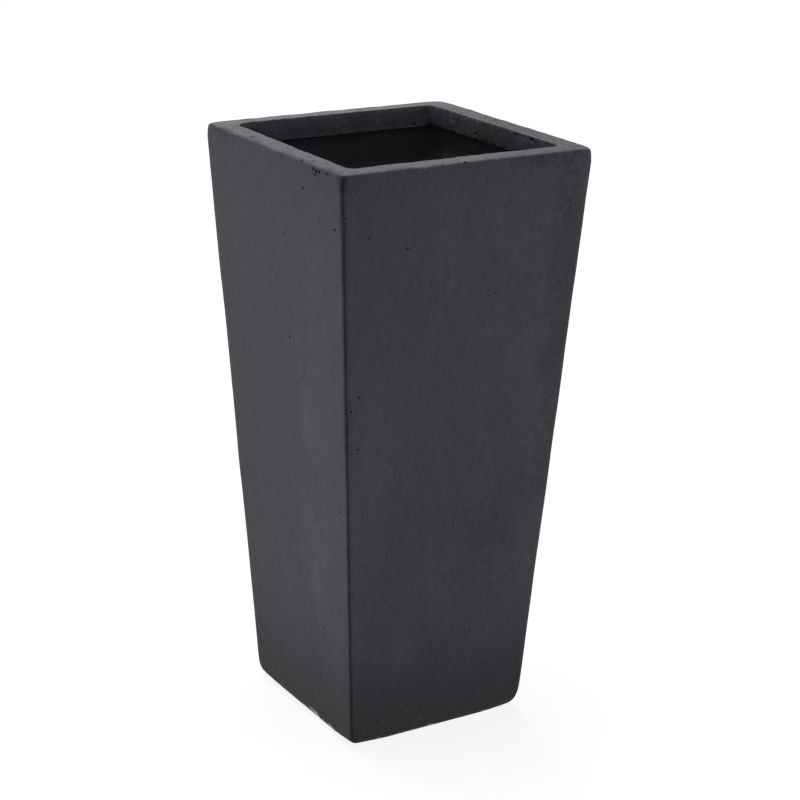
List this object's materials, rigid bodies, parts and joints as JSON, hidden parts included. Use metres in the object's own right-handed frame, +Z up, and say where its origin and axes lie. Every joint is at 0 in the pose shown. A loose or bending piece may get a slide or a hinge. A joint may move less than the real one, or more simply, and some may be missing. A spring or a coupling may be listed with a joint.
{
  "type": "square planter",
  "caption": "Tall square floor planter that tapers to its base, with a thick flat lip, rounded foot, laminated cement wall and a lift-out rubber drain plug.",
  "frame": {"origin": "on the ground, under the centre of the planter", "axes": "+Z up through the mouth; the front wall faces -Y and the left wall faces -X"},
  "size_m": [0.2796, 0.2796, 0.604],
  "materials": {
    "charcoal_cement": "matte",
    "dark_backing": "matte",
    "glass_fibre": "matte",
    "black_rubber": "satin"
  },
  "bodies": {
    "planter": {"face_coat": "charcoal_cement", "front_mat": "glass_fibre", "right_mat": "glass_fibre", "back_mat": "glass_fibre", "left_mat": "glass_fibre", "floor_mat": "glass_fibre", "backing_coat": "dark_backing", "rim_core": "dark_backing"},
    "plug": {"drain_plug": "black_rubber"}
  },
  "joints": [
    {"name": "plug_lift", "type": "slide", "parent": "planter", "child": "plug", "axis": [0, 0, 1], "range_m": [0, 0.62]}
  ]
}
